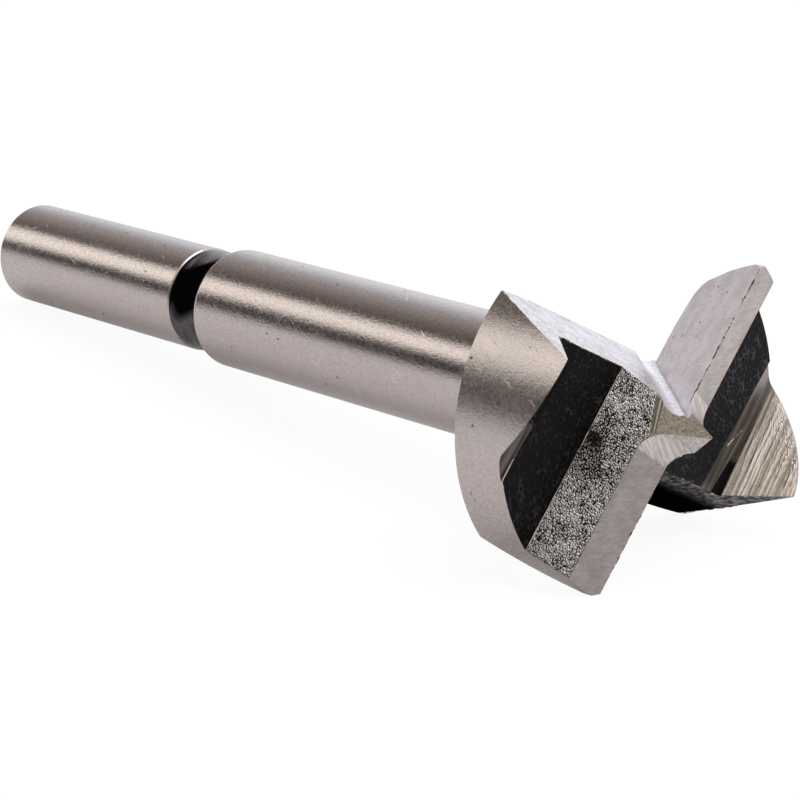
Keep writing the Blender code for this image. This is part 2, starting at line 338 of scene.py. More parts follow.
class Finish(Wiring):
    """A material being wired up. Its maps use millimetres in the bit's own axes."""

    def __init__(self, name, roughness=0.4, metallic=1.0, specular=0.5):
        self.material = bpy.data.materials.new(name)
        self.material.use_nodes = True
        super().__init__(self.material.node_tree)
        self.shader = self.tree.nodes["Principled BSDF"]
        self.shader.inputs["Roughness"].default_value = roughness
        self.shader.inputs["Metallic"].default_value = metallic
        self.shader.inputs["Specular IOR Level"].default_value = specular
        turn = Matrix(BIT_AXES.tolist())
        self.place = self.node("ShaderNodeMapping", {}, {
            "Vector": self.node("ShaderNodeTexCoord").out("Object"),
            "Location": -(turn @ Vector(SHANK_END)) / MM,
            "Rotation": turn.to_euler(),
            "Scale": (1 / MM, 1 / MM, 1 / MM)}).out()

    def noise(self, x, y, z, detail=2.0, roughness=0.5, turn=(0.0, 0.0, 0.0)):
        """Noise around 0.5 with so many waves per mm along each axis, after a turn."""
        turned = self.node("ShaderNodeMapping", {}, {"Vector": self.place, "Rotation": turn}).out()
        where = self.node("ShaderNodeVectorMath", {"operation": "MULTIPLY"}, [turned, (x, y, z)]).out()
        inputs = {"Vector": where, "Scale": 1.0, "Detail": detail, "Roughness": roughness}
        return self.node("ShaderNodeTexNoise", {"noise_dimensions": "3D"}, inputs).out()

    def dots(self, per_mm, radius, share, smear):
        """1 inside small dots: near a cell's own point, in the given share of all the cells."""
        every_way = (per_mm, per_mm, per_mm)
        where = self.node("ShaderNodeVectorMath", {"operation": "MULTIPLY"}, [self.place, every_way]).out()
        cells = self.node("ShaderNodeTexVoronoi", {"feature": "F1"}, {"Vector": where, "Scale": 1.0})
        lot = self.node("ShaderNodeSeparateColor", {}, [cells.out("Color")]).out()
        wobble = (self.noise(6.0, 6.0, 6.0) - 0.5) * smear
        inside = (cells.out("Distance") + wobble).above(radius * per_mm, radius * per_mm * 0.45)
        return inside * lot.above(share, share - 0.01)

    def scratches(self, angles, width, length, share):
        """Fine scratches in several directions: noise stretched from width to length, cut off high."""
        total = None
        for angle in angles:
            lines = self.noise(width, length, length, turn=angle, detail=1.0).above(share, share + 0.08)
            total = lines if total is None else total.math("MAXIMUM", lines)
        return total

    def attribute(self, name):
        return self.node("ShaderNodeAttribute", {"attribute_name": name}).out("Fac")

    def bump(self, height, depth):
        """Tilt the shading as if the surface rose by height * depth, with depth in mm."""
        return self.node("ShaderNodeBump", {}, {"Height": height, "Distance": depth * MM}).out()

    def set(self, name, wire):
        self.join(wire, self.shader.inputs[name])

    def dull(self, factor):
        """Mix in a black that reflects nothing, fully where factor is 1."""
        matt = self.node("ShaderNodeBsdfDiffuse", {}, {"Color": DEEP_BLACK}).out()
        shiny = Wire(self, self.shader.outputs[0])
        mixed = self.node("ShaderNodeMixShader", {}, [factor, shiny, matt]).out()
        self.join(mixed, self.tree.nodes["Material Output"].inputs["Surface"])


print("a finish can also do", [name for name in vars(Finish) if not name.startswith("_")])

# %% [markdown]
# ## Ground steel of the shank and rim
#
# A shank is ground between wheels, which leaves a satin surface with a very fine mottle, a few short
# scratches and the odd tiny pit. Metal has hardly any colour of its own, so the finish lives in the
# roughness and in a shallow bump. The bump is half round lumps and half strokes that lean off the axis.

# %% Ground steel
STEEL = (0.585, 0.52, 0.51)


def ground_steel(name, dullness, relief_depth):
    dark = tuple(0.83 * part for part in STEEL)
    light = tuple(1.03 * part for part in STEEL)
    finish = Finish(name)
    cloud = finish.noise(0.5, 0.5, 0.35, detail=3.0)
    mottle = finish.noise(4.6, 4.6, 3.4, detail=4.0, roughness=0.66)
    strokes = finish.noise(9.0, 9.0, 2.2, detail=2.0, roughness=0.6, turn=(0.5, 0.3, 0.2))
    lines = finish.scratches([(0.5, 0.3, 0.9), (1.4, 0.2, -0.5)], width=7.0, length=0.35, share=0.718)
    pits = finish.dots(0.8, 0.13, 0.50, smear=0.22)
    colour = finish.mix((mottle * 0.5 + strokes * 0.5).above(0.38, 0.62), dark, light)
    colour = finish.mix(lines * 0.6, colour, (0.92, 0.87, 0.83))
    colour = finish.mix(pits * 0.75, colour, (0.13, 0.10, 0.085))
    finish.set("Base Color", colour)
    finish.set("Roughness", cloud * 0.08 + mottle * 0.20 + dullness + pits * 0.3)
    relief = mottle * 0.55 + strokes * 0.45 + lines * 0.3 - pits * 0.5
    finish.set("Normal", finish.bump(relief, relief_depth))
    return finish.material


steel = ground_steel("ground_steel", 0.07, 0.022)
rim_steel = ground_steel("rim_steel", 0.13, 0.018)
print("finishes of the turned surfaces:", steel.name, rim_steel.name)

# %% [markdown]
# ## Faces ground last
#
# The lands and the point were ground after hardening. A wheel leaves faint strokes across the lands and
# clearer ones on the flanks of the point, so both use a noise that is stretched along the strokes.

# %% Lands and flanks of the point
def ground_land():
    dark = (0.37, 0.335, 0.32)
    light = (0.56, 0.515, 0.495)
    finish = Finish("ground_land", roughness=0.34)
    strokes = finish.noise(0.5, 4.5, 4.5, detail=4.0, roughness=0.7, turn=(0.0, 0.0, 0.95))
    fine = finish.noise(8.0, 8.0, 8.0)
    cloud = finish.noise(0.6, 0.6, 0.6, detail=3.0)
    pits = finish.dots(1.2, 0.07, 0.5, smear=0.10)
    tone = strokes * 0.45 + cloud * 0.35 + fine * 0.2
    colour = finish.mix(tone.above(0.36, 0.64), dark, light)
    finish.set("Base Color", finish.mix(pits * 0.8, colour, (0.11, 0.09, 0.08)))
    finish.set("Roughness", strokes * 0.16 + 0.25)
    finish.set("Normal", finish.bump(strokes * 0.5 + fine * 0.3 - pits * 0.5, 0.008))
    return finish.material


def ground_flank():
    dark = (0.48, 0.44, 0.42)
    light = (0.74, 0.69, 0.66)
    finish = Finish("ground_flank", roughness=0.34)
    strokes = finish.noise(5.5, 0.25, 5.5, detail=4.0, roughness=0.7, turn=(0.0, 0.0, 0.5))
    finish.set("Base Color", finish.mix(strokes.above(0.38, 0.62), dark, light))
    finish.set("Normal", finish.bump(strokes, 0.010))
    return finish.material


land = ground_land()
flank = ground_flank()
print("finishes above the lips:", land.name, flank.name)

# %% [markdown]
# The throats were ground by hand, so they are paler and duller, with fine scratches in every direction
# and tiny dark pits where the forging's skin was deepest. Their rounded root is polished by the edge of
# the wheel, which leaves streaks along it.

# %% Throats and their root
THROAT_SCRATCHES = [(0.2, 0.9, 0.4), (0.9, -0.4, 1.2), (-0.3, 0.2, 2.2), (1.6, 0.7, 0.1)]


def ground_throat(name, dark, light):
    finish = Finish(name)
    cloud = finish.noise(0.8, 0.8, 0.8, detail=4.0, roughness=0.6)
    grain = finish.noise(6.0, 6.0, 6.0, detail=3.0, roughness=0.65)
    lines = finish.scratches(THROAT_SCRATCHES, width=7.0, length=0.9, share=0.60)
    specks = finish.dots(1.9, 0.09, 0.36, smear=0.30)
    pits = finish.dots(0.8, 0.15, 0.60, smear=0.18)
    colour = finish.mix((cloud * 0.6 + grain * 0.4).above(0.38, 0.62), dark, light)
    colour = finish.mix(lines * 0.35, colour, (0.97, 0.95, 0.97))
    colour = finish.mix(specks * 0.75, colour, (0.20, 0.19, 0.21))
    finish.set("Base Color", finish.mix(pits * 0.75, colour, (0.16, 0.13, 0.12)))
    finish.set("Roughness", grain * 0.2 + 0.30 + specks * 0.2)
    relief = grain * 0.4 + cloud * 0.3 + lines * 0.35 - specks * 0.6 - pits
    finish.set("Normal", finish.bump(relief, 0.011))
    return finish.material


def polished_root():
    dark = (0.70, 0.675, 0.72)
    light = (1.0, 0.98, 1.0)
    finish = Finish("polished_root", roughness=0.36)
    streaks = finish.noise(5.5, 5.5, 0.5, detail=4.0, roughness=0.65, turn=(0.35, -0.3, 0.0))
    grain = finish.noise(4.5, 4.5, 4.5, detail=3.0, roughness=0.7)
    specks = finish.dots(2.6, 0.085, 0.60, smear=0.3)
    colour = finish.mix((streaks * 0.5 + grain * 0.5).above(0.40, 0.60), dark, light)
    finish.set("Base Color", finish.mix(specks * 0.6, colour, (0.22, 0.20, 0.23)))
    finish.set("Normal", finish.bump(grain * 0.7 + streaks * 0.4 - specks * 0.6, 0.016))
    return finish.material


throat = ground_throat("ground_throat", (0.77, 0.73, 0.78), (0.97, 0.925, 0.975))
lee = ground_throat("ground_lee", (0.55, 0.52, 0.545), (0.80, 0.76, 0.785))
root = polished_root()
print("finishes of the throats:", throat.name, lee.name, root.name)

# %% [markdown]
# The face of the point that looks into the channel lies in the plane of the grainy slope. It was ground
# hot, and the steel has turned a dull brown there.

# %% Inner face of the point
def brown_face():
    dark = (0.25, 0.215, 0.178)
    light = (0.48, 0.43, 0.375)
    finish = Finish("tempered_point", roughness=0.42)
    grain = finish.noise(6.0, 6.0, 6.0, detail=3.0, roughness=0.65)
    strokes = finish.noise(6.0, 0.5, 6.0, detail=3.0, roughness=0.6, turn=(0.0, 0.0, 0.3))
    finish.set("Base Color", finish.mix((grain * 0.65 + strokes * 0.35).above(0.36, 0.66), dark, light))
    finish.set("Normal", finish.bump(grain, 0.012))
    return finish.material


brown = brown_face()
print("finish of the point's inner face:", brown.name)

# %% [markdown]
# ## Blackened hollows
#
# The forging was blackened all over before it was ground, so every hollow that no wheel reached is
# still black. In the channels that skin is rough, with little worm-shaped ridges that catch the light.
# On the neck of the shank it is smooth and glossy. A black that still mirrors the lamps looks grey, so
# part of each one is mixed with a black that reflects nothing.

# %% Black finishes
HOLLOW_BLACK = (0.0030, 0.0026, 0.0033)
SCALE_BLACK = (0.0030, 0.0024, 0.0030)
NECK_BLACK = (0.0030, 0.0026, 0.0030)
# Heights where the back of wing B goes from painted shade to ridges with painted highlight.
PAINTED_LIT_FROM = 68.3
PAINTED_LIT_TO = 70.0


def black_scale(name, gloss, ridge_colour):
    finish = Finish(name, metallic=0.0, specular=gloss)
    worms = finish.attribute("worms")
    grain = finish.noise(7.0, 7.0, 7.0, detail=3.0, roughness=0.6)
    ridge = (worms * 0.5 + grain * 1.6 - 0.8).above(0.0, 1.6)
    finish.set("Base Color", finish.mix(ridge, SCALE_BLACK, ridge_colour))
    finish.dull(0.25 - ridge * 0.25)
    finish.set("Roughness", grain * 0.25 + 0.24)
    finish.set("Normal", finish.bump(grain, 0.018))
    return finish.material


def plain_black():
    """Black skin on the back of wing B: low down jet black that reflects nothing, painted shade; higher up
    grey ridges, partly painted highlight.
    """
    finish = Finish("black_hollow", roughness=0.34, metallic=0.0, specular=0.14)
    worms = finish.noise(2.0, 2.0, 2.0, detail=3.0, roughness=0.6)
    height = finish.node("ShaderNodeSeparateXYZ", {}, [finish.place]).out("Z")
    # Painted light: below this band the face is painted shade, above it the ridges carry painted highlight.
    painted_lit_part = height.above(PAINTED_LIT_FROM, PAINTED_LIT_TO)
    ridge = worms.above(0.36, 0.66) * painted_lit_part
    finish.set("Base Color", finish.mix(ridge, HOLLOW_BLACK, (0.30, 0.27, 0.30)))
    finish.dull(1.0 - painted_lit_part * (ridge * 0.4 + 0.6))
    finish.set("Normal", finish.bump(worms, 0.16))
    return finish.material


def glossy_black():
    finish = Finish("glossy_black", metallic=0.0)
    ripple = finish.noise(0.6, 0.6, 1.2, detail=3.0)
    edge = finish.attribute("edge")
    sheen = finish.attribute("sheen")
    # Painted highlight: a grey tint where the neck faces the lamp or the table; elsewhere painted shade that
    # reflects nothing.
    skin_colour = finish.mix(sheen * ripple.above(0.35, 0.60), NECK_BLACK, (0.13, 0.113, 0.125))
    finish.set("Base Color", finish.mix(edge, skin_colour, (0.20, 0.09, 0.045)))
    finish.set("Metallic", edge * 0.8)
    finish.dull(1.0 - sheen.math("MAXIMUM", edge))
    finish.set("Roughness", ripple * 0.20 + 0.02)
    finish.set("Normal", finish.bump(ripple, 0.06))
    return finish.material


# Wing B's brighter ridge colour is a painted reflection of the backdrop.
SCALES = {"a": black_scale("black_scale_a", 0.12, (0.050, 0.041, 0.048)),
          "b": black_scale("black_scale_b", 0.24, (0.095, 0.088, 0.108))}
hollow_black = plain_black()
neck_black = glossy_black()
print("black finishes:", SCALES["a"].name, SCALES["b"].name, hollow_black.name, neck_black.name)

# %% [markdown]
# ## The body of the bit
#
# The CAD mesh has the right shape, but its triangles share no points, so it can only be shaded flat.
# A copy is merged and its flat faces are joined again. Wing B's back corner is worn round on the real
# bit. A Bevel modifier would stop at the next facet of the rim, so the corner is cut by four planes.

# %% A merged copy of the CAD solid
WORN_RADIUS = 2.0
WORN_DROP = 0.45
WORN_ANGLES = np.radians([10.0, 29.0, 48.0, 67.0])
HEAD_FROM = 60.0
RAKE_BACK = (LIP_HEIGHT - BACK_EDGE) * math.tan(RAKE_TILT) - LIP_AHEAD
WORN_CORNER = np.array([-math.sqrt(HEAD_RADIUS ** 2 - RAKE_BACK ** 2), RAKE_BACK, BACK_EDGE])


def head_parts(work):
    """All faces of the head with their edges and points, but none of the shank's."""
    faces = list(work.faces)
    heights = stand_up(np.array([face.calc_center_median()[:] for face in faces]))[:, 2]
    parts = set()
    for face in (faces[i] for i in np.flatnonzero(heights > HEAD_FROM)):
        parts.update([face, *face.edges, *face.verts])
    return list(parts)


def round_corner(work, corner, radius):
    """Flat cuts tangent to a circle in the x-z plane, each closed with a face.

    The circle's middle is (corner x + r, corner z + r - drop), and a cut looks along (-cos a, 0, -sin a).
    The drop lets the last cut run out where the crowned back of the head begins to fall away.
    """
    middle = corner + np.array([radius, 0.0, radius - WORN_DROP])
    for angle in WORN_ANGLES:
        outward = np.array([-math.cos(angle), 0.0, -math.sin(angle)])
        place = Vector(lie_down((middle + radius * outward)[None, :])[0])
        bmesh.ops.bisect_plane(work, geom=head_parts(work), plane_co=place,
                               plane_no=Vector(outward @ BIT_AXES), clear_outer=True)
        bmesh.ops.holes_fill(work, edges=[edge for edge in work.edges if edge.is_boundary], sides=0)
    bmesh.ops.recalc_face_normals(work, faces=work.faces)
    print("open edges after rounding:", sum(not edge.is_manifold for edge in work.edges))


def merged_copy(node, name):
    """Weld the CAD triangles, join those that lie in one plane and round the worn corner."""
    work = bmesh.new()
    work.from_mesh(node.data)
    bmesh.ops.remove_doubles(work, verts=work.verts, dist=1e-6)
    bmesh.ops.dissolve_limit(work, angle_limit=math.radians(0.4), verts=work.verts, edges=work.edges)
    bmesh.ops.recalc_face_normals(work, faces=work.faces)
    round_corner(work, WORN_CORNER, WORN_RADIUS)
    mesh = bpy.data.meshes.new(name)
    work.to_mesh(mesh)
    work.free()
    piece = bpy.data.objects.new(name, mesh)
    bpy.context.scene.collection.objects.link(piece)
    return piece


body = merged_copy(frame["nodes"]["forstner_bit"], "bit_body")
print("the body has", len(body.data.polygons), "faces after merging")

# %% [markdown]
# Each face gets a finish by where it stands and which way it looks. That is how the real faces are told
# apart too, because one grinding pass makes all the faces that look one way.

# %% Give every face its finish
FINISHES = {"steel": steel, "rim": rim_steel, "land": land, "flank": flank, "throat": throat,
            "lee": lee, "root": root, "brown": brown, "black": hollow_black}
HEAD_BACK = BACK_EDGE - 0.8
SAME_WAY = 0.9995
SQUARE_TO = 0.02


def face_table(mesh):
    """Normal and centre of every face, in the bit's axes."""
    count = len(mesh.polygons)
    normal = np.empty(count * 3)
    centre = np.empty(count * 3)
    mesh.polygons.foreach_get("normal", normal)
    mesh.polygons.foreach_get("center", centre)
    return normal.reshape(-1, 3) @ BIT_AXES.T, stand_up(centre.reshape(-1, 3))


def face_regions(normal, centre):
    """Name the finish of each face from its normal and centre, folding wing B onto wing A."""
    radius = np.hypot(centre[:, 0], centre[:, 1])
    height = centre[:, 2]
    region = np.full(len(normal), "steel", dtype=object)
    in_head = height > HEAD_BACK
    along_land = np.array([0.0, math.cos(LAND_TILT), math.sin(LAND_TILT)])
    throat_axis = np.cross(LEE_OUT, RAKE_OUT * np.array([-1, -1, 1]))
    flat_faces = {"land": LAND_OUT, "brown": SLOPE_OUT, "throat": RAKE_OUT, "black": UP}
    for wing in WINGS.values():
        facing = normal * np.array([wing, wing, 1.0])
        region[in_head & (np.abs(facing @ throat_axis) < SQUARE_TO)] = "root"
        flanks = (np.abs(facing @ along_land) < SQUARE_TO) & (facing[:, 0] > 0.05) & (height > FLOOR_HEIGHT)
        region[in_head & flanks] = "flank"
        for name, outward in flat_faces.items():
            region[in_head & (facing @ outward > SAME_WAY)] = name
        # Wing B's lee face takes the black finish, whose lower part is painted shade.
        region[in_head & (facing @ LEE_OUT > SAME_WAY)] = "lee" if wing > 0 else "black"
    region[normal[:, 2] < -0.6] = "steel"
    region[(np.abs(normal[:, 2]) < 0.2) & (radius > HEAD_RADIUS - 0.3)] = "rim"
    on_neck = (height > CHUCK_LENGTH) & (height < CHUCK_LENGTH + NECK_LENGTH - 0.2)
    region[on_neck & (radius < NECK_RADIUS + 0.1)] = "black"
    return region


facings, centres = face_table(body.data)
regions = face_regions(facings, centres)
names = list(FINISHES)
for name in names:
    body.data.materials.append(FINISHES[name])
body.data.polygons.foreach_set("material_index", np.array([names.index(r) for r in regions]))
print({name: int((regions == name).sum()) for name in names})

# %% [markdown]
# A turned surface is stored as 144 flats, and the real one is round. Its shading normals are therefore
# set straight from the formula: on the shank they point away from the axis. The rim was relieved behind
# each lip, so its radius falls a little there, and its normals lean back by a few degrees. On ground
# faces every corner takes its own face's normal, so that flat stays flat right up to the edge.

# %% Shading normals
RIM_RELIEF = math.radians(3.2)
RELIEF_TURN = np.array([[math.cos(RIM_RELIEF), -math.sin(RIM_RELIEF), 0.0],
                        [math.sin(RIM_RELIEF), math.cos(RIM_RELIEF), 0.0], [0.0, 0.0, 1.0]])
OUTWARD = np.array([1.0, 1.0, 0.0])
SHARP_FROM = math.radians(24)


def mesh_numbers(values, key, kind, count):
    """One foreach_get call: the named numbers of all elements as an array."""
    numbers = np.empty(count, kind)
    values.foreach_get(key, numbers)
    return numbers


def corner_normals(mesh, normal, centre, region):
    """Radial normals on upright turned faces, averaged ones on hollows and face normals elsewhere."""
    mesh.polygons.foreach_set("use_smooth", np.ones(len(mesh.polygons), bool))
    mesh.set_sharp_from_angle(angle=SHARP_FROM)
    averaged = mesh_numbers(mesh.corner_normals, "vector", float, len(mesh.loops) * 3).reshape(-1, 3)
    vertex = mesh_numbers(mesh.loops, "vertex_index", int, len(mesh.loops))
    sizes = mesh_numbers(mesh.polygons, "loop_total", int, len(mesh.polygons))
    places = mesh_numbers(mesh.vertices, "co", float, len(mesh.vertices) * 3).reshape(-1, 3)
    face = np.repeat(np.arange(len(sizes)), sizes)
    radial = stand_up(places)[vertex] * OUTWARD
    radial /= np.maximum(np.linalg.norm(radial, axis=1), 1e-9)[:, None]
    radial = np.where((region == "rim")[face][:, None], radial @ RELIEF_TURN, radial)
    agrees = (normal * centre * OUTWARD).sum(1) / np.maximum(np.hypot(centre[:, 0], centre[:, 1]), 1e-9)
    round_faces = (np.abs(normal[:, 2]) < 0.02) & (agrees > 0.998) & np.isin(region, ["steel", "rim"])
    flat_faces = np.isin(region, ["land", "throat", "lee", "brown"])
    result = averaged @ BIT_AXES.T
    result = np.where(round_faces[face][:, None], radial, result)
    result = np.where(flat_faces[face][:, None], normal[face], result)
    mesh.normals_split_custom_set(result @ BIT_AXES)
    return int(round_faces[face].sum()), int(flat_faces[face].sum())


print("corners made radial and flat:", corner_normals(body.data, facings, centres, regions))
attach(body, "root")
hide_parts("forstner_bit")

# %% [markdown]
# ## The grainy slope
#
# Behind each land the metal drops away at 60 degrees. It was never ground: it shows the coarse
# grain of the forging, dark hollows between bright little humps. A bump map alone would stay flat in
# a side light, so the slope is a fine sheet of points that really rises and falls by a few hundredths
# of a millimetre. The same heights then darken the hollows.

# %% Grainy slope finish
def grainy_finish():
    hollow = (0.016, 0.014, 0.011)
    finish = Finish("grainy_slope")
    height = finish.attribute("height")
    shade = finish.attribute("shade")
    fine = finish.noise(5.5, 5.5, 5.5, detail=3.0, roughness=0.65)
    light = (height * 0.90 + (fine - 0.5) * 2.4 + shade).above(-0.50, 0.85)
    tint = finish.noise(1.6, 1.6, 1.6)
    bright = finish.mix(tint.above(0.4, 0.6), (0.52, 0.52, 0.50), (0.62, 0.61, 0.61))
    finish.set("Base Color", finish.mix(light, hollow, bright))
    finish.set("Roughness", light * -0.12 + 0.46)
    finish.set("Normal", finish.bump(fine, 0.030))
    return finish.material


grainy = grainy_finish()
print("finish of the slopes:", grainy.name)

# %% [markdown]
# The sheet ends at the top where the land's grinding wheel met the slope. That wheel also climbed the
# flank of the point, so the top edge follows its path: flat, then an arc, then straight up the flank.
# Each row's ends depend on its height and the other way round, so both are found by a few repeats.

# %% Grainy slope sheets
GRAIN_WAVE = 0.40
GRAIN_DEPTH = 0.030
GRAIN_STEP = 0.034
GRAIN_LIFT = 0.035
GRAIN_GAP = 0.02
GRAIN_SEED = {"a": 11, "b": 12}
SLOPE_LONG = 14.0
SLOPE_WIDE = 3.6
FIRST_TOP = -2.04
STEP_LINE = (-2.12, 0.153)


def land_profile(x):
    """How far the land cut has risen at x: 0 beyond the foot arc, the arc, then the straight flank."""
    rise = (POINT_HEIGHT - LAND_AT_AXIS) * math.cos(LAND_TILT)
    foot = rise * math.tan(POINT_FLANK)
    lean = math.pi / 2 - POINT_FLANK
    centre = foot + POINT_FOOT_RADIUS * math.tan(lean / 2)
    arc_end = centre - POINT_FOOT_RADIUS * math.sin(lean)
    on_arc = POINT_FOOT_RADIUS - np.sqrt(np.maximum(POINT_FOOT_RADIUS ** 2 - (centre - x) ** 2, 0.0))
    on_flank = (foot - x) / math.tan(POINT_FLANK)
    return np.where(x > centre, 0.0, np.where(x > arc_end, on_arc, on_flank))


def slope_top_y(x):
    """y where the slope meets the land cut: land height of the slope plane = land profile."""
    per_y = -math.sin(LAND_TILT) + math.tan(CHANNEL_TILT) * math.cos(LAND_TILT)
    at_axis = (POINT_HEIGHT - LAND_AT_AXIS) * math.cos(LAND_TILT)
    return (land_profile(x) - at_axis) / per_y


def slope_z(y):
    """Height of the slope's plane, which passes through the tip: z = point height + y tan 60."""
    return POINT_HEIGHT + y * math.tan(CHANNEL_TILT)


def grainy_slope(side):
    """Sheet over the slope: x from the lee face to the rim, y from the floor to the land or the step.

    height = tanh(1 - 2.1 exp(-(winding / 0.42)^2) + 0.55 small), so hollows wind between the humps. The
    sheet is raised along the slope's normal by depth * height, which fades out at the sheet's edges.
    """
    rows, columns = int(SLOPE_WIDE / GRAIN_STEP), int((HEAD_RADIUS + 2) / GRAIN_STEP)
    u, v = unit_grid(rows, columns)
    y = SLOPE_FOOT + (FIRST_TOP - SLOPE_FOOT) * v
    for _ in range(3):
        x_in = lee_x(y, slope_z(y)) + GRAIN_GAP
        x = x_in + (rim_x(y) - GRAIN_GAP - x_in) * u
        top = np.minimum(slope_top_y(x), STEP_LINE[0] + STEP_LINE[1] * x) - GRAIN_GAP
        y = SLOPE_FOOT + (top - SLOPE_FOOT) * v
    seed = GRAIN_SEED[side]
    winding = banded_noise((rows, columns), GRAIN_STEP, GRAIN_WAVE, seed, width=0.55)
    small = banded_noise((rows, columns), GRAIN_STEP, 0.45 * GRAIN_WAVE, seed + 60, width=0.5)
    slow = banded_noise((rows, columns), GRAIN_STEP, 2.4, seed + 90, width=0.8)
    height = np.tanh(1.0 - 2.1 * np.exp(-(winding / 0.42) ** 2) + 0.55 * small)
    darker_middle = np.exp(-((u - 0.42) / 0.16) ** 2 - ((v - 0.15) / 0.6) ** 2)
    # The shade field: slow random tone, and darker in the middle of the slope.
    shade = 0.16 * slow - 0.85 * darker_middle + 0.12
    edge = np.minimum(np.minimum(u, 1 - u) * SLOPE_LONG, np.minimum(v, 1 - v) * SLOPE_WIDE)
    points = np.stack([x, y, slope_z(y)], axis=-1)
    points += SLOPE_OUT * (GRAIN_LIFT + GRAIN_DEPTH * height * ramp(edge, 0, 0.12))[..., None]
    return skin("grainy_slope", points, SLOPE_OUT, grainy, side, height=height, shade=shade)


for side in WINGS:
    grainy_slope(side)

# %% [markdown]
# ## The rough channel floor
#
# The floor between the slope and the spur keeps its black skin. Its ridges wander like worms: they
# are where a banded noise crosses zero, because those crossings are long winding lines. Wing B's
# floor is open to the bright backdrop: its ridges are painted a brighter colour than wing A's, a
# painted reflection, and they are glossier.

# %% Channel floor sheets
FLOOR_STEP = 0.06
FLOOR_LONG = 13.0
FLOOR_WIDE = 4.4
FLOOR_FROM = -3.79
WORM_WAVE = 0.62
WORM_DEPTH = {"a": 0.010, "b": 0.020}
WORM_SEED = {"a": 21, "b": 22}
GAP = 0.03
LIFT = 0.03


def worm_field(shape, spacing, wave, seed):
    """Ridges along the zero lines of banded noise: exp(-(noise / 0.45)^2), then centred."""
    lines = banded_noise(shape, spacing, wave, seed)
    ridges = np.exp(-(lines / 0.45) ** 2)
    return (ridges - ridges.mean()) / ridges.std()


def strip_y(x):
    """Line where the black floor ends and the ground strip starts."""
    return -STRIP_START - 0.03 * (x + 1.0)


def across_wing(y, u):
    """x at the share u of the way from the lee face to the rim, at the height of the floor."""
    x_in = lee_x(y, FLOOR_HEIGHT) + GAP
    return x_in + (rim_x(y) - GAP - x_in) * u


def channel_floor(side):
    """Sheet just over the flat floor: y from the slope's foot to the ground strip, x out to the rim."""
    rows, columns = int(FLOOR_WIDE / FLOOR_STEP), int((FLOOR_LONG + 0.5) / FLOOR_STEP)
    u, v = unit_grid(rows, columns)
    y = FLOOR_FROM + (-STRIP_START - FLOOR_FROM) * v
    for _ in range(3):
        x = across_wing(y, u)
        y = FLOOR_FROM + (strip_y(x) - FLOOR_FROM) * v
    worms = worm_field((rows, columns), FLOOR_STEP, WORM_WAVE, WORM_SEED[side])
    edge = np.minimum(np.minimum(u, 1 - u) * FLOOR_LONG, np.minimum(v, 1 - v) * FLOOR_WIDE)
    lift = np.maximum(LIFT + WORM_DEPTH[side] * worms * ramp(edge, 0, 0.2), 0.008)
    points = np.stack([x, y, FLOOR_HEIGHT + lift], axis=-1)
    return skin("channel_floor", points, UP, SCALES[side], side, worms=worms)


for side in WINGS:
    channel_floor(side)

# %% [markdown]
# ## The ground strip at the foot of the spur
#
# Where the floor meets the spur, a narrow wheel has taken off the black skin in one pass along the
# lip. It leaves a grey strip with lengthwise lines, and a black wedge where it ran out of the hollow
# before the bevel starts. The sheet follows the CAD there: a gentle slope, a flat and a small fillet.

# %% Ground strip finish
def strip_finish():
    finish = Finish("ground_strip", roughness=0.38, specular=0.13)
    black = finish.attribute("black")
    pale = finish.attribute("pale")
    lines = finish.noise(0.25, 9.0, 9.0, detail=3.0, roughness=0.7)
    broad = finish.noise(0.12, 3.0, 3.0)
    tone = (lines * 0.5 + broad * 0.5).above(0.35, 0.65)
    colour = finish.mix(tone, (0.10, 0.087, 0.075), (0.27, 0.245, 0.22))
    colour = finish.mix(pale, colour, (0.33, 0.30, 0.28))
    colour = finish.mix(black, colour, (0.003, 0.0025, 0.003))
    finish.set("Base Color", colour)
    finish.set("Metallic", 1.0 - black)
    finish.set("Normal", finish.bump(lines, 0.012))
    return finish.material


strip_metal = strip_finish()
print("finish of the strips:", strip_metal.name)

# %% [markdown]
# Two fields say where the strip is still black and where it is pale. On wing A the black reaches more
# than half way to the rim, and painted shade dims the rest. On wing B it is only a wedge at the inner
# end, with a faint painted shadow beyond it and a pale end at the rim. A thin pale line near the
# strip's inner edge is a painted highlight.

# %% Ground strip sheets
WEDGE_LINE = {"a": -9.22, "b": -9.38}
WEDGE_END = {"a": 2.9, "b": 2.1}


def spur_foot_y(x):
    """Foot line of the bevel, turned by the skew about the axis."""
    return -SPUR_FOOT / math.cos(SPUR_SKEW) + x * math.tan(SPUR_SKEW)


def strip_height(x, y):
    """z falls along the strip, stays flat, and then rises in the arc of the spur's foot."""
    arc_start = SPUR_FOOT_RADIUS * math.tan(CHANNEL_TILT / 2)
    slope = FLOOR_HEIGHT - STRIP_DIP * np.clip((-STRIP_START - y) / (STRIP_END - STRIP_START), 0, 1.2)
    in_arc = np.clip((spur_foot_y(x) + arc_start - y) / SPUR_FOOT_RADIUS, 0, 0.999)
    foot = FLOOR_HEIGHT - STRIP_DIP + SPUR_FOOT_RADIUS * (1 - np.sqrt(1 - in_arc ** 2))
    foot_from = spur_foot_y(x) + (SPUR_FOOT - STRIP_END + 0.25)
    return np.where(y < foot_from, foot, np.maximum(slope, foot))


